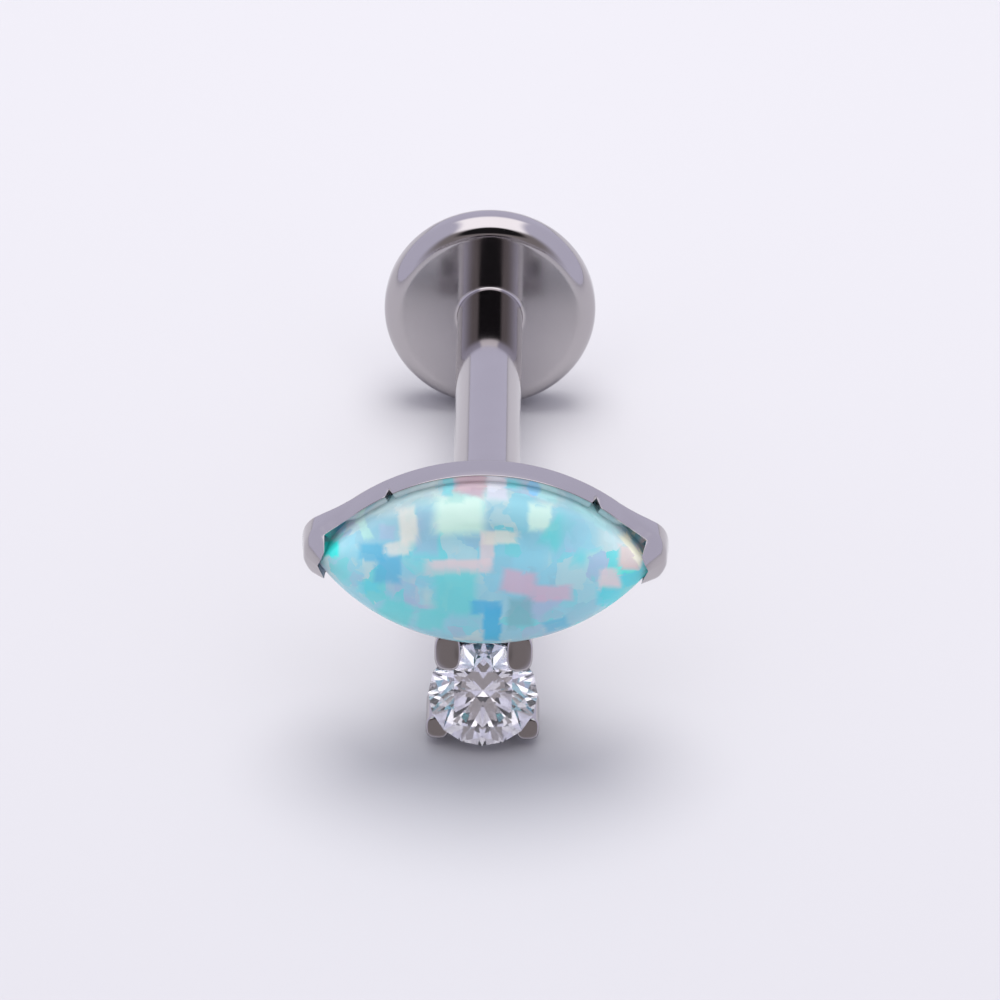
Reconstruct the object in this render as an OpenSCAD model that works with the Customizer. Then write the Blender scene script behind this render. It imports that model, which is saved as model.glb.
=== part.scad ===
// Flat back stud with a marquise cabochon over a small round brilliant.
// Each piece is drawn in the stud's own frame: x to the right, y up across the post,
// z along the post from the skin side of the disc (z = 0) towards the stones.
// The whole stud is then laid down as it rests: on the disc's rim and the two lower claws.

/* [Back disc and post] */
// Diameter of the flat back disc
disc_d = 4; // [3:0.5:6]
// Thickness of the disc
disc_t = 0.8; // [0.8:0.1:1.2]
// Rounding of the rim on the skin side
rim_front_r = 0.35; // [0.1:0.05:0.35]
// Rounding of the rim on the outer side
rim_back_r = 0.35; // [0.1:0.05:0.35]
// Diameter of the post
post_d = 1.23; // [1.2:0.01:1.6]
// Length of the post from the disc to its open end
post_l = 8; // [6:1:12]

/* [Pin inside the post] */
// Diameter of the pin on the stone head
pin_d = 0.75; // [0.6:0.05:0.8]
// Length of the pin
pin_l = 4.5; // [3:0.5:5]
// Gap round the pin and behind its end
pin_gap = 0.05; // [0.03:0.01:0.08]

/* [Marquise cabochon] */
// Length of the marquise from tip to tip
opal_l = 6; // [5:0.5:8]
// Width of the marquise
opal_w = 3; // [2.5:0.25:3.5]
// Height of its straight side
opal_side_h = 0.85; // [0.8:0.05:1]
// Height of the dome above the side
opal_dome_h = 0.9; // [0.6:0.05:1.2]

/* [Marquise setting] */
// Gap between a stone and the metal
stone_gap = 0.03; // [0.02:0.01:0.05]
// How far the wall stands out from the marquise
wall_t = 0.2; // [0.15:0.01:0.25]
// Height from the wall's back edge to the marquise's shoulder
wall_back = 0.92; // [0.9:0.01:1]
// Depth of the wall's rim below the shoulder, at the middle
rim_drop = 0.68; // [0.6:0.01:0.7]
// Distance from the post's end to the marquise's shoulder
head_h = 1.9; // [1.8:0.1:2.4]

/* [Round stone and its basket] */
// Diameter of the round brilliant
round_d = 2; // [1.5:0.1:2]
// Distance between the centres of the two stones
stone_pitch = 2.85; // [2.85:0.05:3.2]
// Depth of the round stone's girdle behind the marquise's shoulder
round_drop = 0.37; // [0.2:0.01:0.5]
// Lean of the round stone in its claws, its lower edge forward
round_tip = 10; // [0:1:12]
// Diameter of a claw of the basket
claw_d = 0.32; // [0.28:0.02:0.36]

/* [Hidden] */
$fn = 96;

disc_r = disc_d / 2;
claw_r = claw_d / 2;
bore_d = pin_d + 2 * pin_gap;

// Marquise outline: two arcs of one radius, their centres on the short axis
arc_r = (opal_w * opal_w / 4 + opal_l * opal_l / 4) / opal_w;
arc_y = arc_r - opal_w / 2;
shoulder_z = post_l + head_h;
seat_z = shoulder_z - opal_side_h;
wall_z = shoulder_z - wall_back;
tip_x = opal_l / 2;

// Radius of the shallow arc that the wall's rim follows, from its rise at two thirds of the tip
rim_x = 0.7 * tip_x;
rim_rise = 0.19;
rim_arc_r = (rim_x * rim_x + rim_rise * rim_rise) / (2 * rim_rise);

// Seat block, collar and bridge, all hidden behind the stones
block_in = 0.35;
block_t = 0.5;
collar_d = 1.7;
end_gap = 0.04;
plate_z = seat_z - stone_gap;
bridge_w = 1;

// Basket claws: across and up from the round stone's centre as shares of its radius, and how far
// the end's ball centre lies in front of the girdle
CLAWS = [
    // across, up, end
    [0.74, 0.72, 0.16],
    [0.83, -0.82, -0.06]
];
round_r = round_d / 2;
girdle_z = shoulder_z - round_drop;
foot_z = post_l + 0.45;
rail_r = 0.72 * round_r;
rail_wire_r = 0.12;
arm_r = 0.1;
low_rail_z = foot_z + 0.12;
high_rail_z = girdle_z - 0.65;

// Brilliant cut, as shares of the stone's radius, with the usual facet angles
table_share = 0.57;
star_share = 0.763;
lower_half_share = 0.25;
crown_angle = 34.5;
pavilion_angle = 42.4;
girdle_t = 0.05;

// Lean of the stud at rest: the line that touches both the disc's rim and the foot balls
foot_y = stone_pitch - CLAWS[1][1] * round_r;
reach_up = disc_r - rim_back_r - foot_y;
reach_along = disc_t - rim_back_r + foot_z;
lean = atan2(reach_along, reach_up)
    - acos((claw_r - rim_back_r) / norm([reach_up, reach_along]));
rest_z = (disc_r - rim_back_r) * cos(lean) + (disc_t - rim_back_r) * sin(lean) + rim_back_r;
back_y = (disc_t - rim_back_r) * cos(lean) + (disc_r - rim_back_r) * sin(lean) + rim_back_r;
front_y = shoulder_z * cos(lean) + norm([opal_w / 2 * sin(lean), opal_dome_h * cos(lean)]);

titanium = [0.62, 0.61, 0.63];

module at_rest() {
    translate([0, (front_y - back_y) / 2, rest_z]) rotate([90 - lean, 0, 0]) children();
}

module both_ends() {
    children();
    mirror([1, 0, 0]) children();
}

module both_sides() {
    children();
    mirror([0, 1, 0]) children();
}

// Marquise outline, grown by a margin all round
module marquise(margin = 0) {
    intersection() {
        translate([0, arc_y]) circle(arc_r + margin);
        translate([0, -arc_y]) circle(arc_r + margin);
    }
}

module slot_shape(from, to, r) {
    along = to - from;
    translate(from) circle(r);
    translate(to) circle(r);
    translate(from) rotate(atan2(along[1], along[0]))
        translate([0, -r]) square([norm(along), 2 * r]);
}

module flat_back_post() {
    color(titanium) at_rest() difference() {
        union() {
            rotate_extrude() disc_section();
            translate([0, 0, -rim_front_r]) cylinder(d = post_d, h = post_l + rim_front_r);
        }
        translate([0, 0, post_l - pin_l - pin_gap])
            cylinder(d = bore_d, h = pin_l + 1);
    }
}

// Half section of the disc, with both corners of its rim rounded
module disc_section() {
    square_r = disc_r - rim_back_r;
    translate([0, -disc_t]) square([square_r, disc_t]);
    translate([0, rim_back_r - disc_t])
        square([disc_r, disc_t - rim_back_r - rim_front_r]);
    translate([0, -rim_front_r - 0.01]) square([disc_r - rim_front_r, rim_front_r + 0.01]);
    translate([disc_r - rim_front_r, -rim_front_r]) circle(rim_front_r);
    translate([square_r, rim_back_r - disc_t]) circle(rim_back_r);
}

module setting() {
    color(titanium) at_rest() {
        marquise_wall();
        both_ends() tip_claw();
        seat_block();
        basket();
    }
}

// Low wall round the marquise; its rim dips along a shallow arc and has a small nick near each claw
module marquise_wall() {
    nick_x = 1.75;
    nick_w = 0.1;
    nick_d = 0.09;
    difference() {
        translate([0, 0, wall_z]) linear_extrude(wall_back) marquise(wall_t);
        translate([0, 0, plate_z]) linear_extrude(wall_back) marquise(stone_gap);
        translate([0, opal_w, shoulder_z - rim_drop + rim_arc_r])
            rotate([90, 0, 0]) cylinder(r = rim_arc_r, h = 2 * opal_w);
        for (side = [-1, 1])
            translate([side * nick_x - nick_w / 2, -opal_w, shoulder_z - rim_drop + 0.05])
                cube([nick_w, 2 * opal_w, nick_d]);
    }
}

// Claw that wraps one tip: a rounded end in plan, folded over the tip like a small gable
module tip_claw() {
    outer_x = tip_x + 0.3;
    lip_x = tip_x - 0.12;
    gable_x = tip_x - 0.13;
    roof_slope = 0.75;
    difference() {
        intersection() {
            translate([0, 0, wall_z]) linear_extrude(wall_back + 0.5) claw_plan(outer_x);
            translate([0, opal_w, shoulder_z]) rotate([90, 0, 0])
                linear_extrude(2 * opal_w) claw_side(outer_x);
            translate([0, 0, shoulder_z]) {
                rotate([90, 0, 90]) linear_extrude(gable_x) claw_gable();
                translate([gable_x, 0, 0]) rotate_extrude() intersection() {
                    claw_gable();
                    translate([0, -wall_back]) square(2 * wall_back);
                }
            }
        }
        // The stone's pocket, with a sloping roof over the tip
        intersection() {
            translate([0, 0, plate_z]) linear_extrude(2) marquise(stone_gap);
            translate([0, opal_w, shoulder_z]) rotate([90, 0, 0]) linear_extrude(2 * opal_w)
                polygon([[0, -wall_back], [outer_x, -wall_back],
                    [outer_x, stone_gap - (outer_x - tip_x) * roof_slope],
                    [0, stone_gap + tip_x * roof_slope]]);
        }
        // The shallow V in the lip of the fold
        translate([0, 0, plate_z]) linear_extrude(2)
            polygon([[lip_x, 0], [lip_x - 0.12, 0.33], [1.6, 0.33], [1.6, -0.33],
                [lip_x - 0.12, -0.33]]);
        // Small round reliefs beside the tip
        both_sides() translate([tip_x - 0.3, 0.43, plate_z]) cylinder(r = 0.08, h = 2);
    }
}

module claw_plan(outer_x) {
    end_r = 0.25;
    corner = [outer_x - end_r, 0.2];
    root = [tip_x - 0.7, 0.62];
    both_sides() slot_shape(root, corner, end_r);
    slot_shape([corner[0], -corner[1]], corner, end_r);
    polygon([root, corner, [corner[0], -corner[1]], [root[0], -root[1]]]);
}

// The claw seen from the side: x along the stone, y forward from its shoulder
module claw_side(outer_x) {
    bend = [tip_x - 0.3, -0.1];
    bend_r = 0.5;
    translate(bend) circle(bend_r);
    polygon([[bend[0] - bend_r, bend[1]], [tip_x - 1, -0.47], [tip_x - 1, -wall_back],
        [outer_x, -wall_back], [outer_x, -0.5], [outer_x - 0.11, 0], bend]);
}

// The claw seen from beyond the tip: x across the stone, y forward from its shoulder.
// It runs along the stone and is swung round the tip
module claw_gable() {
    eaves = [0.5, -0.5];
    ridge = [0.088, 0.317];
    ridge_r = 0.1;
    translate([0, ridge[1] - 0.047]) circle(ridge_r);
    polygon([[-1, -wall_back], [1, -wall_back], [1, eaves[1]], eaves, ridge,
        [-ridge[0], ridge[1]], [-eaves[0], eaves[1]], [-1, eaves[1]]]);
}

// Block that the marquise sits on, its collar, the pin, and the bridge to the basket
module seat_block() {
    block_z = plate_z - block_t;
    translate([0, 0, block_z]) linear_extrude(block_t) marquise(-block_in);
    translate([0, 0, wall_z]) linear_extrude(plate_z - wall_z) marquise(wall_t / 2);
    translate([0, 0, post_l + end_gap])
        cylinder(d = collar_d, h = block_z - post_l - end_gap + 0.1);
    translate([0, 0, post_l - pin_l]) cylinder(d = pin_d, h = pin_l + end_gap + 0.1);
    translate([-bridge_w / 2, rail_r - stone_pitch, block_z + 0.02])
        cube([bridge_w, stone_pitch - rail_r, block_t - 0.1]);
}

module basket() {
    at_basket() {
        for (claw = CLAWS) both_ends() basket_claw(claw);
        rail(low_rail_z);
        rail(high_rail_z);
        bridge_post();
    }
}

module basket_claw(claw) {
    end_z = girdle_z + claw[2];
    x = claw[0] * round_r;
    y = claw[1] * round_r;
    difference() {
        translate([x, y, foot_z]) {
            sphere(claw_r);
            cylinder(r = claw_r, h = end_z - foot_z);
            translate([0, 0, end_z - foot_z]) sphere(claw_r);
        }
        claw_notch(atan2(y, x));
    }
    // Short arms that carry the claw on both rails
    for (z = [low_rail_z, high_rail_z])
        translate([0, 0, z]) rotate([0, 90, atan2(y, x)])
            translate([0, 0, rail_r]) cylinder(r = arm_r, h = norm([x, y]) - rail_r);
}

module rail(z) {
    translate([0, 0, z]) rotate_extrude() translate([rail_r, 0]) circle(rail_wire_r);
}

// Upright between the two rails, where the bridge meets the basket
module bridge_post() {
    translate([0, rail_r, low_rail_z]) cylinder(r = rail_wire_r, h = high_rail_z - low_rail_z);
}

// Notch filed into a claw for the round stone's edge, with slopes a little steeper than its facets
module claw_notch(turn) {
    edge_r = round_r + stone_gap;
    half_girdle = (girdle_t + stone_gap) / 2;
    ease_angle = 4;
    front = half_girdle + claw_d * tan(crown_angle + ease_angle);
    back = half_girdle + claw_d * tan(pavilion_angle + ease_angle);
    in_claws() rotate([90, 0, turn]) linear_extrude(2 * claw_d, center = true)
        polygon([[edge_r - claw_d, -back], [edge_r, -half_girdle], [edge_r, half_girdle],
            [edge_r - claw_d, front]]);
}

module at_basket() {
    translate([0, -stone_pitch, 0]) children();
}

module in_claws() {
    translate([0, 0, girdle_z]) rotate([-round_tip, 0, 0]) children();
}

// Marquise cabochon: sections across the stone at stations along it, each a flat bottom,
// straight sides and a rounded crown that falls away towards the tips
opal_stations = 48;
opal_crown_steps = 24;
crown_power = 2.2;
ridge_power = 0.9;
blunt = 0.02;

function half_width(x) = sqrt(arc_r * arc_r - x * x) - arc_y;
function ridge_h(x) = opal_dome_h * pow(1 - pow(x / tip_x, 2), ridge_power);
function station_x(i) = -(tip_x - blunt) * cos(180 * i / opal_stations);
function crown_point(x, a) = [
    x,
    half_width(x) * sign(cos(a)) * pow(abs(cos(a)), 2 / crown_power),
    shoulder_z + ridge_h(x) * pow(sin(a), 2 / crown_power)
];
function opal_section(x) = concat(
    [[x, half_width(x), seat_z]],
    [for (j = [0:opal_crown_steps]) crown_point(x, 180 * j / opal_crown_steps)],
    [[x, -half_width(x), seat_z]]
);

module opal() {
    ring = opal_crown_steps + 3;
    points = [for (i = [0:opal_stations]) each opal_section(station_x(i))];
    sides = [for (i = [0:opal_stations - 1], j = [0:ring - 1])
        let (a = i * ring + j, b = i * ring + (j + 1) % ring)
        [a, b, b + ring, a + ring]];
    first_end = [for (j = [ring - 1:-1:0]) j];
    last_end = [for (j = [0:ring - 1]) opal_stations * ring + j];
    triangles = [for (f = sides) each [[f[0], f[1], f[2]], [f[0], f[2], f[3]]]];
    color([0.66, 0.82, 0.86]) at_rest()
        polyhedron(points, concat(triangles, [first_end, last_end]));
}

// Round brilliant: table, 8 stars, 8 kites, 16 upper and 16 lower girdle facets, 8 pavilion mains
function on_ring(share, turn, z) = [share * cos(turn), share * sin(turn), z];
function crown_z(share) = girdle_t / 2 + (1 - share) * tan(crown_angle);
function pavilion_z(share) = -girdle_t / 2 - (1 - share) * tan(pavilion_angle);

module round_stone() {
    table_ring = [for (k = [0:7]) on_ring(table_share, 45 * k, crown_z(table_share))];
    star_ring = [for (k = [0:7])
        on_ring(star_share, 45 * k + 22.5, crown_z(star_share * cos(22.5)))];
    upper_girdle = [for (k = [0:15]) on_ring(1, 22.5 * k, girdle_t / 2)];
    lower_girdle = [for (k = [0:15]) on_ring(1, 22.5 * k, -girdle_t / 2)];
    half_ring = [for (k = [0:7])
        on_ring(lower_half_share, 45 * k + 22.5, pavilion_z(lower_half_share * cos(22.5)))];
    culet = [[0, 0, pavilion_z(0)]];
    points = round_r * concat(table_ring, star_ring, upper_girdle, lower_girdle, half_ring, culet);
    star = 8;
    upper = 16;
    lower = 32;
    half = 48;
    tip = 56;
    faces = concat(
        [[for (k = [7:-1:0]) k]],
        [for (k = [0:7]) [k, (k + 1) % 8, star + k]],
        [for (k = [0:7]) [k, star + k, upper + 2 * k, star + (k + 7) % 8]],
        [for (k = [0:7]) [star + k, upper + 2 * k + 1, upper + 2 * k]],
        [for (k = [0:7]) [star + k, upper + (2 * k + 2) % 16, upper + 2 * k + 1]],
        [for (k = [0:15]) [upper + k, upper + (k + 1) % 16, lower + (k + 1) % 16, lower + k]],
        [for (k = [0:7]) [lower + 2 * k, lower + 2 * k + 1, half + k]],
        [for (k = [0:7]) [lower + 2 * k + 1, lower + (2 * k + 2) % 16, half + k]],
        [for (k = [0:7]) [lower + 2 * k, half + k, tip, half + (k + 7) % 8]]
    );
    color([0.9, 0.92, 0.98]) at_rest() at_basket() in_claws() rotate([0, 0, 22.5])
        polyhedron(points, faces);
}

flat_back_post();
setting();
opal();
round_stone();
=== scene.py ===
"""Flat back stud: the looks of the titanium, the opal and the round stone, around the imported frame."""
import math

import bmesh
import bpy
from mathutils import Matrix, Vector


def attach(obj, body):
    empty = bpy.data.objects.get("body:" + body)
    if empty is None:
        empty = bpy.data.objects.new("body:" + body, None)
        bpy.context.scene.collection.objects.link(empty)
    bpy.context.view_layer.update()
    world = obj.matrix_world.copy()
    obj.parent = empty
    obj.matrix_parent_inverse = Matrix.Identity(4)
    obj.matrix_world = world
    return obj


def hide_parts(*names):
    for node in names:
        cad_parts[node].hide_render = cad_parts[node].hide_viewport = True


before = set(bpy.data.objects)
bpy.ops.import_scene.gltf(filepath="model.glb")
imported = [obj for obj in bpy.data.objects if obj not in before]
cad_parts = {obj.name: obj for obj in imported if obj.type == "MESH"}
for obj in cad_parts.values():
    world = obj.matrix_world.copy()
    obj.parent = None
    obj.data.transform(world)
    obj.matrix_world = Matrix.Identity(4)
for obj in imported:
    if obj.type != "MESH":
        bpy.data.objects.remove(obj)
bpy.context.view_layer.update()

MM = 0.001
# Points closer than this in mm are one, in a made piece and in a copied solid
MERGE = 0.0005
MERGE_COPY = 0.0002

# The stud at rest: the post leans up towards the stones, and the disc's face meets its axis here
LEAN = math.radians(11.5947)
DISC_FACE = Vector((0, 4.7536, 2.0568)) * MM
ALONG = Vector((0, -math.cos(LEAN), math.sin(LEAN)))
ACROSS = Vector((0, math.sin(LEAN), math.cos(LEAN)))
RIGHT = Vector((1, 0, 0))

# Sizes of the turned disc and post, in mm
DISC_D = 4.0
DISC_T = 0.8
RIM_FRONT_R = 0.35
RIM_BACK_R = 0.35
POST_D = 1.23
POST_L = 8.0
CORNER_R = 0.05
BORE_D = 0.85
BORE_L = 4.55
EDGE_R = 0.03
# How far from a rounded corner the next ring stands on a straight run
SUPPORT = 0.03
TURNED_STEPS = 160

# The marquise and its setting, in mm; heights are counted along the post from the stone's shoulder
SHOULDER = 9.9
MARQUISE_L = 6.0
MARQUISE_W = 3.0
ARC_R = (MARQUISE_W ** 2 + MARQUISE_L ** 2) / 4 / MARQUISE_W
ARC_Y = ARC_R - MARQUISE_W / 2
STONE_GAP = 0.03
WALL_T = 0.2
LIP_OUT = 0.14
LIP_IN = 0.008
LIP_DROP = 0.005
BACK_EDGE = -0.92
WALL_FOLD = -0.78
FOLD_INSET = 0.01
RIM_MIDDLE = -0.415
RIM_RISE = 0.01
LOWER_RIM = -0.62
# The nicks in the upper rim: place along the stone, half width and depth, right and left
NICKS = ((1.93, 0.08, 0.26), (1.70, 0.065, 0.2))
# How far the left claw's tip stands off the stone
LEFT_OPENING = 0.08
# Where the plain wall ends and the claw begins, and how far before it the wall's last section stands
WALL_END = 2.3
WALL_LAST = 0.2
WALL_STEPS = 30
CLAW_STEPS = 6
# A claw's lip: the share of the way to the pocket at which its inner edge lies, how far that edge drops,
# and how far under the lip the pocket begins
LIP_INWARDS = 0.35
LIP_SLOPE = 0.05
POCKET_DROP = 0.12
# How far each corner of a section is rounded: back edge, fold, lip, inner edge, and the two ends of the
# pocket. No curve takes more than a set share of a side
SECTION_ROUNDING = (0.05, 0.12, 0.015, 0.005, 0.02, 0.01)
LARGEST_SHARE = 0.45

# The claw over one tip, from the upper wall round the tip to the lower wall. Each row is a section:
# its back edge (across, up), the fold of its outer face and its lip (across, up, along), and the
# pocket's side (across, up)
CLAW_SECTIONS = [
    # back edge      fold                    lip                     pocket
    ((2.72, 0.68), (2.69, 0.665, -0.62), (2.60, 0.615, -0.40), (2.52, 0.567)),
    ((2.98, 0.54), (2.95, 0.53, -0.52), (2.79, 0.51, -0.33), (2.70, 0.394)),
    ((3.15, 0.44), (3.12, 0.43, -0.42), (2.92, 0.43, -0.28), (2.80, 0.28)),
    ((3.26, 0.32), (3.22, 0.31, -0.36), (2.83, 0.26, 0.07), (2.90, 0.19)),
    ((3.32, 0.17), (3.28, 0.165, -0.34), (2.885, 0.13, 0.10), (2.98, 0.09)),
    ((3.33, 0.0), (3.29, 0.0, -0.33), (2.95, 0.0, 0.105), (3.035, 0.0)),
    ((3.32, -0.17), (3.28, -0.165, -0.34), (2.885, -0.14, 0.10), (2.98, -0.09)),
    ((3.25, -0.32), (3.17, -0.34, -0.32), (2.83, -0.285, 0.06), (2.90, -0.19)),
    ((3.12, -0.43), (3.06, -0.42, -0.52), (2.90, -0.38, -0.38), (2.80, -0.28)),
    ((2.93, -0.55), (2.90, -0.54, -0.70), (2.82, -0.50, -0.62), (2.68, -0.41)),
]

# Seat block, collar, pin, rails and bridge behind the stones, in mm
BLOCK_IN = 0.35
BLOCK_T = 0.5
PLATE_OUT = 0.1
PLATE_BACK = -0.905
PLATE_TOP = -0.88
PLATE_STEPS = 48
BLOCK_LAP = 0.01
COLLAR_D = 1.7
PIN_D = 0.75
PIN_L = 4.5
SEAT_GAP = 0.04
OVERLAP = 0.1
BASKET_Y = -2.85
RAIL_R = 0.72
RAIL_WIRE_R = 0.12
RAILS = (8.57, 8.88)
ARM_R = 0.1
BRIDGE_W = 1.0
BRIDGE_T = 0.4
BRIDGE_RISE = 0.02

# The round stone, in mm and degrees: its girdle's height along the post, its slopes, how far it leans,
# and how much steeper than the stone the hollows filed for it are
ROUND_R = 1.0
GIRDLE = 9.53
GIRDLE_T = 0.05
CROWN_ANGLE = 34.5
PAVILION_ANGLE = 42.4
ROUND_TIP = 10
EASE_ANGLE = 4

# The bars of the basket claws, in mm; a higher squareness gives fuller corners
CLAW_FOOT = 8.45
CLAW_EDGE_R = 0.04
CLAW_EDGE_STEPS = 5
CLAW_SIDE_STEPS = 30
CLAW_ROUND_STEPS = 32
CLAW_SQUARENESS = 3
# Each pair of them: across and up from the round stone's middle, half sizes across and up, the end's
# height over the stone's girdle, how far the end face leans upwards in degrees, and how much more it
# leans on its inner side
BASKET_CLAWS = ((0.66, 0.90, 0.24, 0.33, 0.12, 11, 9), (0.83, -0.78, 0.21, 0.20, -0.08, 13, 3))

# Colours of the titanium's and the clear stone's faint clouds, darkest and lightest
TITANIUM_TONES = ((0.452, 0.427, 0.437, 1), (0.500, 0.475, 0.485, 1))
TITANIUM_HAZE = (0.06, 0.10)
TITANIUM_CLOUDS = 0.9 / MM
CLEAR_TONES = ((0.95, 0.94, 1, 1), (1, 0.98, 1, 1))
CLEAR_CLOUDS = 1.5 / MM
CLEAR_INDEX = 2.4
CLEAR_TRANSMISSION = 0.97
FLOOR_TONE = (0.53, 0.525, 0.535, 1)

# Colours of the opal's blocks; the brightest mint-white one is partly the opal's fire and partly a painted
# highlight
OPAL_COLOURS = {
    "emerald": (0.05, 1.00, 0.80), "mint": (0.50, 0.85, 0.75), "mint_fire_and_highlight": (0.75, 1.00, 0.85),
    "sky": (0.25, 0.60, 0.95), "ice": (0.35, 0.65, 0.75), "lilac": (0.45, 0.60, 0.75),
    "cream": (0.85, 0.85, 0.75), "pond": (0.15, 0.55, 0.75), "pink": (0.80, 0.70, 0.70),
    "mauve": (0.70, 0.55, 0.65), "rosewood": (0.70, 0.50, 0.55), "turquoise": (0.20, 0.75, 0.75),
    "cyan": (0.15, 0.75, 0.85), "deep_blue": (0.10, 0.55, 0.80), "pearl": (0.90, 0.85, 0.95),
    "sea": (0.45, 0.85, 0.85), "lemon": (1.00, 1.00, 0.65), "blush": (0.80, 0.60, 0.55),
    "slate": (0.25, 0.55, 0.60), "pale_teal": (0.35, 0.70, 0.80), "mist": (0.55, 0.75, 0.75),
}
OPAL_LARGE = ("turquoise", "pale_teal", "mist", "pale_teal", "ice", "lilac")
OPAL_SMALL = ("turquoise", "pale_teal", "mist", "pale_teal", "ice", "mist", "lilac")
OPAL_INDEX = 1.45
OPAL_GLOW_DEPTH = 2.0 * MM
# How many blocks or clouds there are to a mm
LARGE_BLOCKS = 1.6
SMALL_BLOCKS = 2.5
MILKY_CLOUDS = 1.6
BLOCK_UNEVENNESS = 0.85
# Clouds or blocks to a mm that push the pattern about, and how far in mm
BENDS = (1.1, 0.5)
CHIPS = (5.5, 0.05)
FLASH_CHIPS = (4.2, 0.06)
# The share of a cloud's brightness where the small blocks begin and where they have taken over
MILKY_RANGE = (0.44, 0.70)
# A flash's edge, in its own half sizes: where it has faded out and where it is full
FLASH_EDGE = (1.45, 0.75)
# Painted shade that darkens the dome's upper part, evening out the overhead light there: its tint, and in
# mm where it begins and is full, up the chart and along the post from the stone's shoulder
DOME_SHADE_TINT = (0.58, 0.60, 0.61, 1)
DOME_SHADE_RISE = (0.05, 1.0)
DOME_SHADE_ALONG = (-0.3, 0.0)
# How much a place further forward is seen lower on the chart
CHART_SLANT = 0.535

# The opal's flashes: place across and up in mm, half sizes, turn in degrees, colour and strength
OPAL_FLASHES = (
    (-2.79, 0.31, 0.11, 0.16, 0, "emerald", 1.0),
    (-2.68, 0.80, 0.12, 0.16, 0, "sky", 0.8),
    (-1.50, 1.20, 0.70, 0.16, 25, "mist", 0.7),
    (-1.88, 0.68, 0.30, 0.30, 0, "ice", 0.8),
    (-1.78, 0.66, 0.12, 0.14, 0, "lilac", 0.8),
    (-2.19, 0.72, 0.08, 0.20, 25, "mint", 0.9),
    (-1.40, 0.80, 0.15, 0.33, 8, "cream", 0.85),
    (-1.58, 0.33, 0.22, 0.13, 20, "cream", 0.7),
    (-2.05, 0.25, 0.20, 0.15, 0, "pond", 0.8),
    (-1.75, -0.10, 0.20, 0.24, 0, "pond", 0.8),
    (-1.05, 0.70, 0.18, 0.45, 0, "lilac", 0.7),
    # This mint-white flash and its twin on the right are partly the opal's fire and partly a painted
    # highlight of the softbox
    (-0.47, 1.05, 0.40, 0.36, 0, "mint_fire_and_highlight", 0.95),
    (-0.55, 1.45, 0.16, 0.14, 0, "mint", 0.8),
    (-0.27, 1.63, 0.25, 0.18, -20, "rosewood", 0.9),
    (-0.68, 1.57, 0.08, 0.13, 0, "cyan", 0.6),
    (-0.50, -0.02, 0.50, 0.13, 3, "pink", 0.85),
    (0.04, 0.30, 0.11, 0.35, 0, "pink", 0.8),
    (-0.53, -0.55, 0.36, 0.40, 0, "turquoise", 0.85),
    (-1.60, -0.97, 0.28, 0.20, -25, "turquoise", 0.9),
    (-0.97, -1.10, 0.24, 0.17, -10, "turquoise", 0.8),
    (-2.10, -0.47, 0.18, 0.10, 0, "cyan", 0.6),
    (0.02, -0.85, 0.24, 0.12, 0, "deep_blue", 0.8),
    (0.15, -1.20, 0.13, 0.32, 0, "deep_blue", 1.0),
    (0.20, 1.60, 0.15, 0.22, 0, "pearl", 0.7),
    (0.57, 1.73, 0.20, 0.09, 0, "cyan", 0.6),
    (0.87, 1.62, 0.10, 0.13, 0, "sky", 0.9),
    (1.12, 1.47, 0.17, 0.12, -25, "sea", 0.8),
    # Partly the opal's fire and partly a painted highlight of the softbox
    (0.97, 1.03, 0.18, 0.24, 0, "mint_fire_and_highlight", 0.9),
    (1.30, 0.75, 0.17, 0.33, -30, "turquoise", 0.8),
    (1.70, 0.75, 0.32, 0.40, 0, "pale_teal", 0.7),
    (2.00, 1.05, 0.42, 0.12, -32, "sea", 0.8),
    (0.27, 0.60, 0.28, 0.12, 0, "cream", 0.8),
    (1.05, 0.05, 0.10, 0.40, 0, "pale_teal", 0.8),
    (0.30, 0.02, 0.17, 0.17, 0, "ice", 0.7),
    (0.60, -0.32, 0.28, 0.20, -10, "mauve", 0.85),
    (1.20, -0.52, 0.33, 0.15, 0, "mauve", 0.85),
    (2.27, -0.20, 0.18, 0.16, 0, "pink", 0.8),
    (2.60, 0.25, 0.18, 0.22, 0, "blush", 0.85),
    (2.66, 0.43, 0.30, 0.07, -56, "lemon", 0.9),
    (2.58, -0.05, 0.20, 0.05, 0, "emerald", 0.6),
    (2.68, -0.20, 0.20, 0.12, 20, "cyan", 1.0),
    (2.25, -0.60, 0.20, 0.15, 0, "cyan", 0.8),
    (0.65, -0.95, 0.20, 0.28, 0, "slate", 0.8),
    (1.30, -1.17, 0.20, 0.10, 15, "pond", 0.7),
)

# The camera of the photograph
CAMERA_AIM = Vector((0.250, 2.542, -0.608)) * MM
CAMERA_DISTANCE = 200 * MM
CAMERA_ELEVATION = math.radians(39.69)
CAMERA_AZIMUTH = math.radians(0.02)
CAMERA_ROLL = math.radians(0.945)
CAMERA_LENS = 380.4
CAMERA_SENSOR = 36
CAMERA_REACH = (0.001, 10)

# The light tent: its lavender cloth, the long softbox overhead, the dim room behind the photographer
# and the black lens. Each zone goes from nothing to full between two angles, and the softbox also
# between two sideways shares
TENT = (0.78, 0.77, 0.95, 1)
SOFTBOX = (1.8, 1.76, 1.82, 1)
SOFTBOX_FRONT = (math.radians(46), math.radians(64))
SOFTBOX_FAR = (math.radians(146), math.radians(126))
SOFTBOX_SIDES = (0.50, 0.36)
ROOM = (0.30, 0.27, 0.275, 1)
ROOM_RISE = math.radians(34)
ROOM_EDGE = (math.radians(44), math.radians(24))
LENS = (0.015, 0.014, 0.016, 1)
LENS_EDGE = (math.radians(22), math.radians(16))

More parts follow.
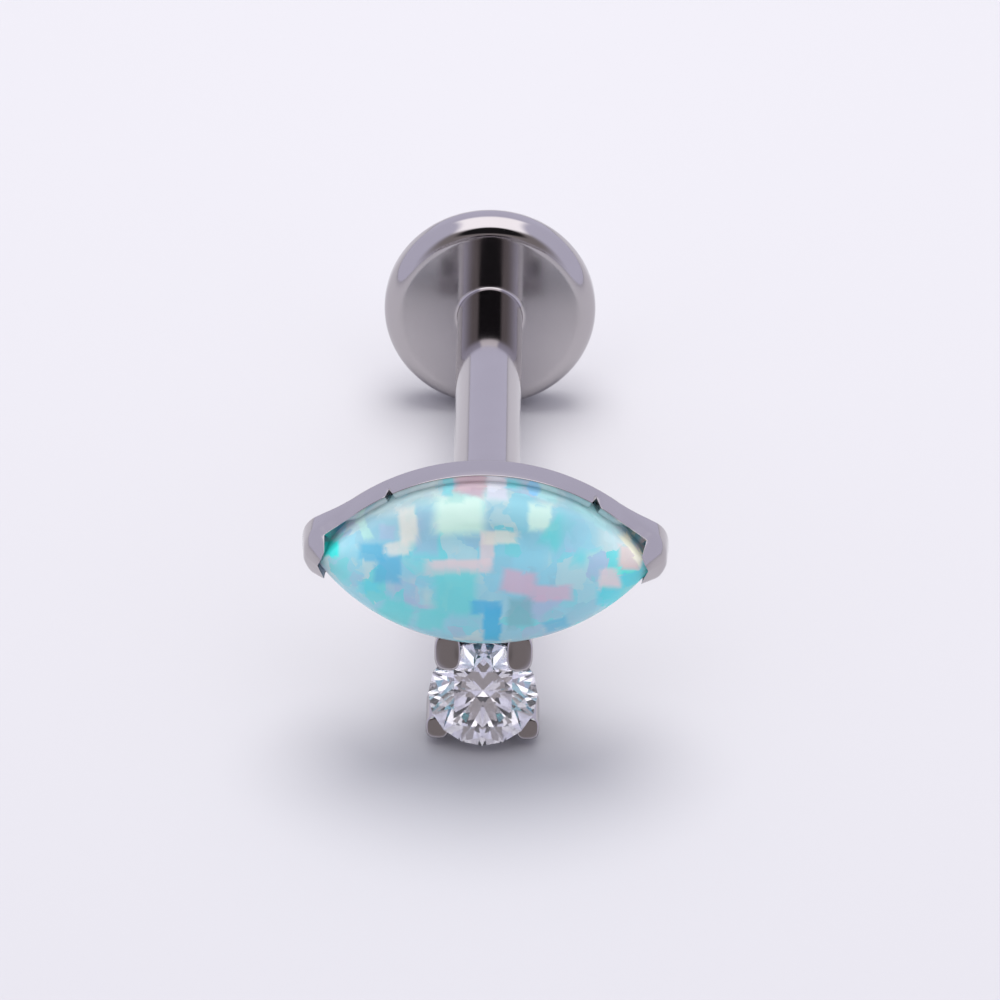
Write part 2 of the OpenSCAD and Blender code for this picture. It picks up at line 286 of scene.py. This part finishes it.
# The lamp overhead, which throws the soft shadow
LAMP_PLACE = Vector((0, 25, 90)) * MM
LAMP_SIZE = 60 * MM
LAMP_WATTS = 0.06

FLOOR_HALF = 400 * MM


def placed(right, up, towards, origin):
    """The matrix with three directions as its axes and a place as its origin."""
    return Matrix.Translation(origin) @ Matrix((right, up, towards)).transposed().to_4x4()


# From the stud's own axes, x right, y up across the post and z along it, to where it rests
AT_REST = placed(RIGHT, ACROSS, ALONG, DISC_FACE)


def new_object(name, bm, material):
    """Makes a finished bmesh an object at the origin."""
    mesh = bpy.data.meshes.new(name)
    bm.to_mesh(mesh)
    bm.free()
    mesh.materials.append(material)
    piece = bpy.data.objects.new(name, mesh)
    bpy.context.scene.collection.objects.link(piece)
    return piece


def close_up(bm):
    """Joins what meets and turns every face outwards."""
    bmesh.ops.remove_doubles(bm, verts=bm.verts, dist=MERGE * MM)
    bmesh.ops.recalc_face_normals(bm, faces=bm.faces)


def smooth(piece, degrees):
    """Smooth shading that keeps the edges sharper than the angle."""
    piece.data.shade_smooth()
    piece.data.set_sharp_from_angle(angle=math.radians(degrees))


# Materials

def new_material(name):
    material = bpy.data.materials.new(name)
    material.use_nodes = True
    tree = material.node_tree
    return material, tree, tree.nodes["Principled BSDF"]


def join(tree, value, socket):
    """Feeds a socket with another node's output, or sets it to a plain number or colour."""
    if hasattr(value, "is_linked"):
        tree.links.new(value, socket)
    else:
        socket.default_value = value


def maths(tree, operation, *values):
    """The result of a Math node."""
    node = tree.nodes.new("ShaderNodeMath")
    node.operation = operation
    for socket, value in zip(node.inputs, values):
        join(tree, value, socket)
    return node.outputs[0]


def fade(tree, value, limits):
    """0 where the value is at or past the first limit, 1 at or past the second."""
    node = tree.nodes.new("ShaderNodeMapRange")
    node.interpolation_type = "SMOOTHSTEP"
    node.inputs["From Min"].default_value, node.inputs["From Max"].default_value = limits
    tree.links.new(value, node.inputs["Value"])
    return node.outputs["Result"]


def blend(tree, amount, first, second, kind="MIX"):
    """The first colour with an amount of the second laid over it."""
    node = tree.nodes.new("ShaderNodeMix")
    node.data_type = "RGBA"
    node.blend_type = kind
    join(tree, amount, node.inputs["Factor"])
    join(tree, first, node.inputs[6])
    join(tree, second, node.inputs[7])
    return node.outputs[2]


def cloudy_tone(tree, shader, clouds, detail, tones):
    """Colours the surface with soft clouds between two tones, and returns the clouds."""
    place = tree.nodes.new("ShaderNodeTexCoord")
    cloud = tree.nodes.new("ShaderNodeTexNoise")
    cloud.inputs["Scale"].default_value = clouds
    cloud.inputs["Detail"].default_value = detail
    tree.links.new(place.outputs["Object"], cloud.inputs["Vector"])
    ramp = tree.nodes.new("ShaderNodeValToRGB")
    for stop, tone in zip(ramp.color_ramp.elements, tones):
        stop.color = tone
    tree.links.new(cloud.outputs["Fac"], ramp.inputs["Fac"])
    tree.links.new(ramp.outputs["Color"], shader.inputs["Base Color"])
    return cloud.outputs["Fac"]


def titanium():
    """Polished titanium: a soft grey mirror with very faint polishing marks."""
    material, tree, shader = new_material("polished_titanium")
    shader.inputs["Metallic"].default_value = 1.0
    marks = cloudy_tone(tree, shader, TITANIUM_CLOUDS, 3, TITANIUM_TONES)
    haze = tree.nodes.new("ShaderNodeMapRange")
    haze.inputs["To Min"].default_value, haze.inputs["To Max"].default_value = TITANIUM_HAZE
    tree.links.new(marks, haze.inputs["Value"])
    tree.links.new(haze.outputs["Result"], shader.inputs["Roughness"])
    return material


def opal_material():
    """Synthetic opal: a mosaic of soft blocks, pale teal to lilac, with brighter flashes charted one by
    one.
    The flashes are laid out across the stone as it is seen from a little above its front."""
    material, tree, shader = new_material("synthetic_opal")
    nodes, links = tree.nodes, tree.links
    shader.inputs["Roughness"].default_value = 0.05
    shader.inputs["IOR"].default_value = OPAL_INDEX
    shader.inputs["Subsurface Weight"].default_value = 1.0
    shader.inputs["Subsurface Radius"].default_value = (1.0, 1.0, 1.0)
    shader.inputs["Subsurface Scale"].default_value = OPAL_GLOW_DEPTH

    def vector(operation, *values):
        node = nodes.new("ShaderNodeVectorMath")
        node.operation = operation
        for socket, value in zip(node.inputs, values):
            join(tree, value, socket)
        return node.outputs[0]

    def moved(value, location, turn, size):
        """The place as seen from a point, turned back and measured in its own sizes."""
        node = nodes.new("ShaderNodeMapping")
        node.vector_type = "TEXTURE"
        links.new(value, node.inputs["Vector"])
        node.inputs["Location"].default_value = location
        node.inputs["Rotation"].default_value = turn
        node.inputs["Scale"].default_value = size
        return node.outputs["Vector"]

    def blocks(value, per_mm, metric="CHEBYCHEV"):
        """A random colour for each block."""
        node = nodes.new("ShaderNodeTexVoronoi")
        node.distance = metric
        node.inputs["Scale"].default_value = per_mm
        node.inputs["Randomness"].default_value = BLOCK_UNEVENNESS
        links.new(value, node.inputs["Vector"])
        return node.outputs["Color"]

    def clouds(value, per_mm):
        """A soft random colour."""
        node = nodes.new("ShaderNodeTexNoise")
        node.inputs["Scale"].default_value = per_mm
        node.inputs["Detail"].default_value = 2
        links.new(value, node.inputs["Vector"])
        return node.outputs["Color"]

    def channel(colour, name):
        node = nodes.new("ShaderNodeSeparateColor")
        links.new(colour, node.inputs["Color"])
        return node.outputs[name]

    def palette(value, names):
        """The named colours one after another as the value goes from 0 to 1."""
        ramp = nodes.new("ShaderNodeValToRGB")
        ramp.color_ramp.interpolation = "EASE"
        stops = ramp.color_ramp.elements
        for i in range(1, len(names) - 1):
            stops.new(i / (len(names) - 1))
        for stop, name in zip(stops, names):
            stop.color = (*OPAL_COLOURS[name], 1)
        links.new(value, ramp.inputs["Fac"])
        return ramp.outputs["Color"]

    def shaken(value, pattern, push):
        """The place pushed about by a random colour, so many to a mm and so many mm far."""
        per_mm, reach = push
        off = vector("SUBTRACT", pattern(place, per_mm), (0.5, 0.5, 0.5))
        return vector("ADD", value, vector("MULTIPLY", off, (reach, reach, reach)))

    # Millimetres from the middle of the stone's shoulder, along the stud's own axes
    middle = DISC_FACE + ALONG * SHOULDER * MM
    place = nodes.new("ShaderNodeTexCoord").outputs["Object"]
    place = moved(place, middle, (math.pi / 2 - LEAN, 0, 0), (MM, MM, MM))

    bent = shaken(place, clouds, BENDS)
    uneven = shaken(bent, blocks, CHIPS)
    large = palette(channel(blocks(uneven, LARGE_BLOCKS), "Red"), OPAL_LARGE)
    small = palette(channel(blocks(uneven, SMALL_BLOCKS, "MANHATTAN"), "Green"), OPAL_SMALL)
    milky = fade(tree, channel(clouds(bent, MILKY_CLOUDS), "Blue"), MILKY_RANGE)
    colour = blend(tree, milky, large, small)

    axes = nodes.new("ShaderNodeSeparateXYZ")
    links.new(shaken(place, blocks, FLASH_CHIPS), axes.inputs[0])
    forward = maths(tree, "MULTIPLY", axes.outputs["Z"], CHART_SLANT)
    rise = maths(tree, "SUBTRACT", axes.outputs["Y"], forward)
    chart = nodes.new("ShaderNodeCombineXYZ")
    links.new(axes.outputs["X"], chart.inputs["X"])
    links.new(rise, chart.inputs["Y"])
    for x, up, half_x, half_up, turn, name, strength in OPAL_FLASHES:
        near = moved(chart.outputs[0], (x, up, 0), (0, 0, math.radians(turn)), (half_x, half_up, 1))
        parts = nodes.new("ShaderNodeSeparateXYZ")
        links.new(vector("ABSOLUTE", near), parts.inputs[0])
        edge = maths(tree, "MAXIMUM", parts.outputs["X"], parts.outputs["Y"])
        amount = maths(tree, "MULTIPLY", fade(tree, edge, FLASH_EDGE), strength)
        colour = blend(tree, amount, colour, (*OPAL_COLOURS[name], 1))

    # Painted shade: the colour is darkened high on the dome, against the overhead light there, but not on
    # the side below its edge
    high = fade(tree, rise, DOME_SHADE_RISE)
    on_dome = fade(tree, axes.outputs["Z"], DOME_SHADE_ALONG)
    painted_shade = maths(tree, "MULTIPLY", high, on_dome)
    links.new(blend(tree, painted_shade, colour, DOME_SHADE_TINT, "MULTIPLY"), shader.inputs["Base Color"])
    return material


def clear_stone():
    """Clear stone with the faintest lavender clouds. Its refractive index is set above the 2.15 of cubic
    zirconia, because that returns more of the bright tent, as in the photograph."""
    material, tree, shader = new_material("clear_stone")
    cloudy_tone(tree, shader, CLEAR_CLOUDS, 2, CLEAR_TONES)
    shader.inputs["Roughness"].default_value = 0.0
    shader.inputs["IOR"].default_value = CLEAR_INDEX
    shader.inputs["Transmission Weight"].default_value = CLEAR_TRANSMISSION
    return material


def floor_material():
    """Matt off-white board."""
    material, _, shader = new_material("pale_floor")
    shader.inputs["Base Color"].default_value = FLOOR_TONE
    shader.inputs["Roughness"].default_value = 0.9
    shader.inputs["Specular IOR Level"].default_value = 0.2
    return material


# Pieces

def turned_profile():
    """Half section of the disc and post as (radius, along) pairs in mm, from the bore's end over the post
    and round the disc to the axis."""
    disc_r, post_r, bore_r = DISC_D / 2, POST_D / 2, BORE_D / 2

    def arc(centre, radius, start, end, steps):
        """Points on an arc between two angles in degrees."""
        points = []
        for i in range(steps + 1):
            a = math.radians(start + (end - start) * i / steps)
            points.append((centre[0] + radius * math.cos(a), centre[1] + radius * math.sin(a)))
        return points

    profile = [(0, POST_L - BORE_L), (bore_r, POST_L - BORE_L)]
    profile += arc((bore_r + EDGE_R, POST_L - EDGE_R), EDGE_R, 180, 90, 4)
    profile += arc((post_r - EDGE_R, POST_L - EDGE_R), EDGE_R, 90, 0, 4)
    profile += arc((post_r + CORNER_R, CORNER_R), CORNER_R, 180, 270, 8)
    profile += arc((disc_r - RIM_FRONT_R, -RIM_FRONT_R), RIM_FRONT_R, 90, 0, 12)
    profile += arc((disc_r - RIM_BACK_R, RIM_BACK_R - DISC_T), RIM_BACK_R, 0, -90, 14)
    profile.append((0, -DISC_T))
    return supported(profile)


def supported(profile):
    """The profile with more points near the ends of its straight runs, so that the rounded corners
    beside them don't bend their shading."""
    points = [profile[0]]
    for start, end in zip(profile, profile[1:]):
        length = math.dist(start, end)
        if length > 5 * SUPPORT:
            for share in (SUPPORT / length, 1 - SUPPORT / length):
                points.append(tuple(a + (b - a) * share for a, b in zip(start, end)))
        points.append(end)
    return points


def flat_back_post():
    """The disc and the post, turned from one profile."""
    bm = bmesh.new()
    corners = [bm.verts.new((r * MM, 0, z * MM)) for r, z in turned_profile()]
    edges = [bm.edges.new(pair) for pair in zip(corners, corners[1:])]
    bmesh.ops.spin(bm, geom=corners + edges, cent=(0, 0, 0), axis=(0, 0, 1), dvec=(0, 0, 0),
                   angle=math.tau, steps=TURNED_STEPS, use_merge=True, use_duplicate=False)
    bmesh.ops.transform(bm, matrix=AT_REST, verts=bm.verts)
    close_up(bm)
    piece = new_object("back_disc_and_post", bm, titanium_look)
    smooth(piece, 32)
    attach(piece, "root")
    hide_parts("flat_back_post")


def half_width(x):
    """Half the marquise's width at a place along it."""
    return math.sqrt(ARC_R ** 2 - x ** 2) - ARC_Y


def beside(x, out, side=1):
    """The point a distance outside the marquise's edge, on its upper or lower side."""
    edge = half_width(x)
    return x + out * x / ARC_R, side * (edge + out * (edge + ARC_Y) / ARC_R)


def wall_section(x, side, nick):
    """A section of the plain wall: back edge, fold, lip, pocket and the lip's inner edge."""
    if side > 0:
        nick_x, half_w, depth = nick
        rim = RIM_MIDDLE + RIM_RISE * x ** 2
        rim -= depth * max(0, 1 - abs(x - nick_x) / half_w)
    else:
        rim = LOWER_RIM
    return (beside(x, WALL_T, side), (*beside(x, WALL_T - FOLD_INSET, side), WALL_FOLD),
            (*beside(x, LIP_OUT, side), rim), beside(x, STONE_GAP, side),
            (*beside(x, LIP_IN, side), rim - LIP_DROP))


def claw_section(row, opening):
    """A section of a claw in the same order, its lip moved off the stone by the opening."""
    back, fold, lip, pocket = row
    if lip[2] > 0:
        lip = (lip[0] + opening, lip[1], lip[2])
    inside = [lip[i] + LIP_INWARDS * (pocket[i] - lip[i]) for i in (0, 1)]
    return back, fold, lip, pocket, (*inside, lip[2] - LIP_SLOPE)


def corner_points(row):
    """The six corners of a section, from the outside of its back edge over the lip into the pocket."""
    back, fold, lip, pocket, inside = row
    return [Vector((*back, BACK_EDGE)), Vector(fold), Vector(lip), Vector(inside),
            Vector((*pocket, lip[2] - POCKET_DROP)), Vector((*pocket, BACK_EDGE))]


def rounded(corners, radii, steps=4):
    """A closed section with each corner drawn as a small curve."""
    points = []
    count = len(corners)
    for i, radius in enumerate(radii):
        before, corner, after = corners[i - 1], corners[i], corners[(i + 1) % count]
        back = (before - corner).length
        ahead = (after - corner).length
        start = corner + (before - corner) * min(radius / back, LARGEST_SHARE)
        end = corner + (after - corner) * min(radius / ahead, LARGEST_SHARE)
        for step in range(steps + 1):
            t = step / steps
            points.append(start * (1 - t) ** 2 + corner * 2 * t * (1 - t) + end * t ** 2)
    return points


def loft(bm, sections):
    """A skin through closed sections: a grid whose corners are moved to their places and joined."""
    rows, columns = len(sections) - 1, len(sections[0])
    grid = bmesh.ops.create_grid(bm, x_segments=rows, y_segments=columns, size=0.5)["verts"]
    for vert in grid:
        row = round((vert.co.x + 0.5) * rows)
        column = round((vert.co.y + 0.5) * columns) % columns
        vert.co = sections[row][column]
    bmesh.ops.remove_doubles(bm, verts=grid, dist=MERGE)
    return [vert for vert in grid if vert.is_valid]


def between(rows, steps):
    """More sections between the given ones, on smooth paths but for the lips, which keep their corners."""
    lips = (2, 4)
    result = []
    for i in range(1, len(rows) - 2):
        for step in range(steps):
            t = step / steps
            row = []
            for part in range(5):
                a, b, c, d = (Vector(rows[i + k][part]) for k in (-1, 0, 1, 2))
                if part in lips:
                    row.append(b.lerp(c, t))
                else:
                    row.append(0.5 * (2 * b + (c - a) * t + (2 * a - 5 * b + 4 * c - d) * t ** 2
                                      + (3 * b - a - 3 * c + d) * t ** 3))
            result.append(tuple(row))
    return result


def half_ring(bm, nick, opening):
    """Half of the wall round the marquise with the claw over its right tip."""
    nick_x, half_w, _ = nick
    wall_x = [WALL_END * i / WALL_STEPS for i in range(WALL_STEPS)]
    wall_x += [nick_x + half_w * k for k in (-1, -0.5, 0, 0.5, 1)]
    wall_x.sort()
    upper = [wall_section(x, 1, nick) for x in wall_x]
    lower = [wall_section(x, -1, nick) for x in reversed(wall_x)]
    ends = [wall_section(x, 1, nick) for x in (WALL_END - WALL_LAST, WALL_END)]
    far_ends = [wall_section(x, -1, nick) for x in (WALL_END, WALL_END - WALL_LAST)]
    over_tip = [claw_section(row, opening) for row in CLAW_SECTIONS]
    claw = between(ends + over_tip + far_ends, CLAW_STEPS)
    rows = upper + claw + far_ends[:1] + lower
    return loft(bm, [rounded(corner_points(row), SECTION_ROUNDING) for row in rows])


def marquise_wall(bm):
    """The low wall round the marquise and the claws over its tips, as one closed ring."""
    right, left = NICKS
    wall = half_ring(bm, right, 0)
    far_wall = half_ring(bm, left, LEFT_OPENING)
    bmesh.ops.scale(bm, verts=far_wall, vec=(-1, 1, 1))
    bmesh.ops.translate(bm, verts=wall + far_wall, vec=(0, 0, SHOULDER))


def marquise_plate(bm, out, low, high):
    """A flat piece with the marquise's outline grown by a distance, between two heights."""
    arc_r = ARC_R + out
    reach = math.sqrt(arc_r ** 2 - ARC_Y ** 2)
    places = [-reach * math.cos(math.pi * i / PLATE_STEPS) for i in range(PLATE_STEPS + 1)]
    corners = []
    for side in (1, -1):
        for x in places[::side][:-1]:
            corners.append(bm.verts.new((x, side * (math.sqrt(arc_r ** 2 - x ** 2) - ARC_Y), low)))
    base = bm.faces.new(corners)
    top = bmesh.ops.extrude_face_region(bm, geom=[base])["geom"]
    raised = [item for item in top if isinstance(item, bmesh.types.BMVert)]
    bmesh.ops.translate(bm, verts=raised, vec=(0, 0, high - low))


def drum(bm, x, y, low, high, radius, segments=48):
    """A plain round piece between two heights."""
    made = bmesh.ops.create_cone(bm, cap_ends=True, segments=segments, radius1=radius, radius2=radius,
                                 depth=high - low)["verts"]
    bmesh.ops.translate(bm, verts=made, vec=(x, y, (low + high) / 2))


def seat(bm):
    """Everything that carries the marquise from behind."""
    marquise_plate(bm, PLATE_OUT, SHOULDER + PLATE_BACK, SHOULDER + PLATE_TOP)
    block_low = SHOULDER + PLATE_TOP - BLOCK_T
    marquise_plate(bm, -BLOCK_IN, block_low, SHOULDER + PLATE_TOP - BLOCK_LAP)
    drum(bm, 0, 0, POST_L + SEAT_GAP, block_low + OVERLAP, COLLAR_D / 2)
    drum(bm, 0, 0, POST_L - PIN_L, POST_L + SEAT_GAP + OVERLAP, PIN_D / 2)
    bridge = bmesh.ops.create_cube(bm, size=1)["verts"]
    reach = -BASKET_Y - RAIL_R
    bmesh.ops.scale(bm, verts=bridge, vec=(BRIDGE_W, reach, BRIDGE_T))
    middle = block_low + BRIDGE_RISE + BRIDGE_T / 2
    bmesh.ops.translate(bm, verts=bridge, vec=(0, -reach / 2, middle))


def rails(bm):
    """Two wire rings behind the round stone, and the upright that joins them to the bridge."""
    for height in RAILS:
        ring = bmesh.ops.create_circle(bm, segments=16, radius=RAIL_WIRE_R)["verts"]
        bmesh.ops.rotate(bm, verts=ring, cent=(0, 0, 0), matrix=Matrix.Rotation(math.pi / 2, 3, "X"))
        bmesh.ops.translate(bm, verts=ring, vec=(RAIL_R, BASKET_Y, height))
        edges = list({edge for vert in ring for edge in vert.link_edges})
        bmesh.ops.spin(bm, geom=ring + edges, cent=(0, BASKET_Y, 0), axis=(0, 0, 1), dvec=(0, 0, 0),
                       angle=math.tau, steps=64, use_merge=True, use_duplicate=False)
    drum(bm, 0, BASKET_Y + RAIL_R, RAILS[0], RAILS[1], RAIL_WIRE_R, 24)


def clear_of_stone(point):
    """The point pushed out from the round stone's axis until it clears its edge and its slopes."""
    rise = point.z - GIRDLE + point.y * math.tan(math.radians(ROUND_TIP))
    slope = (CROWN_ANGLE if rise > 0 else PAVILION_ANGLE) + EASE_ANGLE
    past_girdle = max(abs(rise) - (GIRDLE_T + STONE_GAP) / 2, 0)
    clear = ROUND_R + STONE_GAP - past_girdle / math.tan(math.radians(slope))
    out = math.hypot(point.x, point.y)
    if out < clear:
        point.x *= clear / out
        point.y *= clear / out
    return point


def claw_rings(half_across, top):
    """How far each ring of a basket claw stands in from its side, and its height, from the middle of the
    foot over both rounded edges to the middle of the end face."""
    low, high = CLAW_FOOT, top - CLAW_EDGE_R
    foot = CLAW_FOOT - CLAW_EDGE_R
    rings = [(half_across, foot), (half_across / 2, foot)]
    for i in range(CLAW_EDGE_STEPS):
        a = math.pi / 2 * i / (CLAW_EDGE_STEPS - 1)
        rings.append((CLAW_EDGE_R * (1 - math.sin(a)), low - CLAW_EDGE_R * math.cos(a)))
    for i in range(1, CLAW_SIDE_STEPS):
        rings.append((0, low + (high - low) * i / CLAW_SIDE_STEPS))
    for i in range(CLAW_EDGE_STEPS + 1):
        a = math.pi / 2 * i / CLAW_EDGE_STEPS
        rings.append((CLAW_EDGE_R * (1 - math.cos(a)), high + CLAW_EDGE_R * math.sin(a)))
    rings += [(half_across * share, top) for share in (0.4, 0.6, 0.8, 1.0)]
    return rings


def basket_claw(bm, across, up, half_across, half_up, end, lean, twist):
    """A claw of the basket: a bar with rounded corners and a leaning end face, filed hollow where the
    round stone's edge sits."""
    top = GIRDLE + end
    sections = []
    for inset, height in claw_rings(half_across, top):
        fullness = max(height - CLAW_FOOT, 0) / (top - CLAW_FOOT)
        section = []
        for k in range(CLAW_ROUND_STEPS):
            a = math.tau * k / CLAW_ROUND_STEPS
            powers = abs(math.cos(a)) ** CLAW_SQUARENESS + abs(math.sin(a)) ** CLAW_SQUARENESS
            corner = powers ** (-1 / CLAW_SQUARENESS)
            x = math.cos(a) * corner * max(half_across - inset, 0)
            y = math.sin(a) * corner * max(half_up - inset * half_up / half_across, 0)
            inwards = 0.5 - 0.5 * math.copysign(x, x * across) / half_across
            back = y * math.tan(math.radians(lean + twist * inwards)) * fullness
            section.append(clear_of_stone(Vector((across + x, up + y, height - back))))
        sections.append(section)
    bar = loft(bm, sections) + arms(bm, across, up)
    bmesh.ops.translate(bm, verts=bar, vec=(0, BASKET_Y, 0))


def arms(bm, across, up):
    """The short wires that join a claw to both rails."""
    out = math.hypot(up, across)
    towards_claw = Matrix.Rotation(math.atan2(up, across), 3, "Z")
    wires = []
    for height in RAILS:
        wire = bmesh.ops.create_cone(bm, cap_ends=True, segments=20, radius1=ARM_R, radius2=ARM_R,
                                     depth=out - RAIL_R)["verts"]
        bmesh.ops.rotate(bm, verts=wire, cent=(0, 0, 0), matrix=Matrix.Rotation(math.pi / 2, 3, "Y"))
        bmesh.ops.translate(bm, verts=wire, vec=((out + RAIL_R) / 2, 0, height))
        bmesh.ops.rotate(bm, verts=wire, cent=(0, 0, 0), matrix=towards_claw)
        wires += wire
    return wires


def setting():
    """The head: wall and claws, seat, pin and basket, soldered into one piece."""
    bm = bmesh.new()
    marquise_wall(bm)
    seat(bm)
    rails(bm)
    for across, *rest in BASKET_CLAWS:
        basket_claw(bm, across, *rest)
        basket_claw(bm, -across, *rest)
    bmesh.ops.scale(bm, verts=bm.verts, vec=(MM, MM, MM))
    bmesh.ops.transform(bm, matrix=AT_REST, verts=bm.verts)
    close_up(bm)
    piece = new_object("head_setting", bm, titanium_look)
    smooth(piece, 50)
    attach(piece, "root")
    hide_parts("setting")


def opal():
    """The marquise: a copy of the solid with its loose triangles joined, shaded smooth."""
    bm = bmesh.new()
    bm.from_mesh(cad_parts["opal"].data)
    bmesh.ops.remove_doubles(bm, verts=bm.verts, dist=MERGE_COPY * MM)
    piece = new_object("marquise_opal", bm, opal_look)
    smooth(piece, 50)
    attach(piece, "root")
    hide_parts("opal")


def round_stone():
    """The round brilliant: the solid itself, as its facets are flat."""
    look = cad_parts["round_stone"].material_slots[0]
    look.link = "OBJECT"
    look.material = clear_look


# Stage

def floor():
    """A plain pale floor, wider than any view."""
    bm = bmesh.new()
    bmesh.ops.create_grid(bm, x_segments=1, y_segments=1, size=FLOOR_HALF)
    close_up(bm)
    piece = new_object("studio_floor", bm, floor_material())


def world_light():
    """A light tent by direction: pale lavender all round, a long softbox overhead that runs from the
    photographer to the far side, and the dim room and black lens where the photographer stands."""
    world = bpy.data.worlds.new("light_tent")
    bpy.context.scene.world = world
    world.use_nodes = True
    tree = world.node_tree
    nodes, links = tree.nodes, tree.links
    nodes.clear()
    out = nodes.new("ShaderNodeOutputWorld")
    light = nodes.new("ShaderNodeBackground")
    links.new(light.outputs["Background"], out.inputs["Surface"])
    direction = nodes.new("ShaderNodeTexCoord").outputs["Generated"]
    axes = nodes.new("ShaderNodeSeparateXYZ")
    links.new(direction, axes.inputs[0])

    def angle_from(centre):
        dot = nodes.new("ShaderNodeVectorMath")
        dot.operation = "DOT_PRODUCT"
        dot.inputs[1].default_value = centre
        links.new(direction, dot.inputs[0])
        return maths(tree, "ARCCOSINE", dot.outputs["Value"])

    sideways = maths(tree, "ABSOLUTE", axes.outputs["X"])
    # From the floor in front, over the top, to the floor behind
    height = maths(tree, "ARCTAN2", axes.outputs["Z"], maths(tree, "MULTIPLY", axes.outputs["Y"], -1))
    softbox = maths(tree, "MULTIPLY", fade(tree, height, SOFTBOX_FRONT), fade(tree, height, SOFTBOX_FAR))
    softbox = maths(tree, "MULTIPLY", softbox, fade(tree, sideways, SOFTBOX_SIDES))
    room = fade(tree, angle_from((0, -math.cos(ROOM_RISE), math.sin(ROOM_RISE))), ROOM_EDGE)
    lens = fade(tree, angle_from(towards_camera()), LENS_EDGE)
    colour = blend(tree, room, TENT, ROOM)
    colour = blend(tree, softbox, colour, SOFTBOX)
    links.new(blend(tree, lens, colour, LENS), light.inputs["Color"])


def towards_camera():
    """The direction from the stud to the camera."""
    flat = math.cos(CAMERA_ELEVATION)
    return Vector((math.sin(CAMERA_AZIMUTH) * flat, -math.cos(CAMERA_AZIMUTH) * flat,
                   math.sin(CAMERA_ELEVATION)))


def camera():
    """The photograph's long lens, rolled a little."""
    back = towards_camera()
    level = Vector((math.cos(CAMERA_AZIMUTH), math.sin(CAMERA_AZIMUTH), 0))
    right = level * math.cos(CAMERA_ROLL) + back.cross(level) * math.sin(CAMERA_ROLL)
    data = bpy.data.cameras.new("photo_camera")
    data.lens = CAMERA_LENS
    data.sensor_width = CAMERA_SENSOR
    data.clip_start, data.clip_end = CAMERA_REACH
    eye = bpy.data.objects.new("photo_camera", data)
    eye.matrix_world = placed(right, back.cross(right), back, CAMERA_AIM + back * CAMERA_DISTANCE)
    bpy.context.scene.collection.objects.link(eye)
    bpy.context.scene.camera = eye


def top_softbox():
    """A round lamp overhead, left out of reflections because the tent's bright ceiling stands there."""
    data = bpy.data.lights.new("top_softbox", "AREA")
    data.shape = "DISK"
    data.size = LAMP_SIZE
    data.energy = LAMP_WATTS
    lamp = bpy.data.objects.new("top_softbox", data)
    lamp.location = LAMP_PLACE
    lamp.rotation_euler = (-LAMP_PLACE).to_track_quat("-Z", "Y").to_euler()
    lamp.visible_glossy = False
    bpy.context.scene.collection.objects.link(lamp)


titanium_look = titanium()
opal_look = opal_material()
clear_look = clear_stone()

camera()
floor()
world_light()
top_softbox()
flat_back_post()
setting()
opal()
round_stone()
bpy.context.scene.view_settings.view_transform = "Standard"
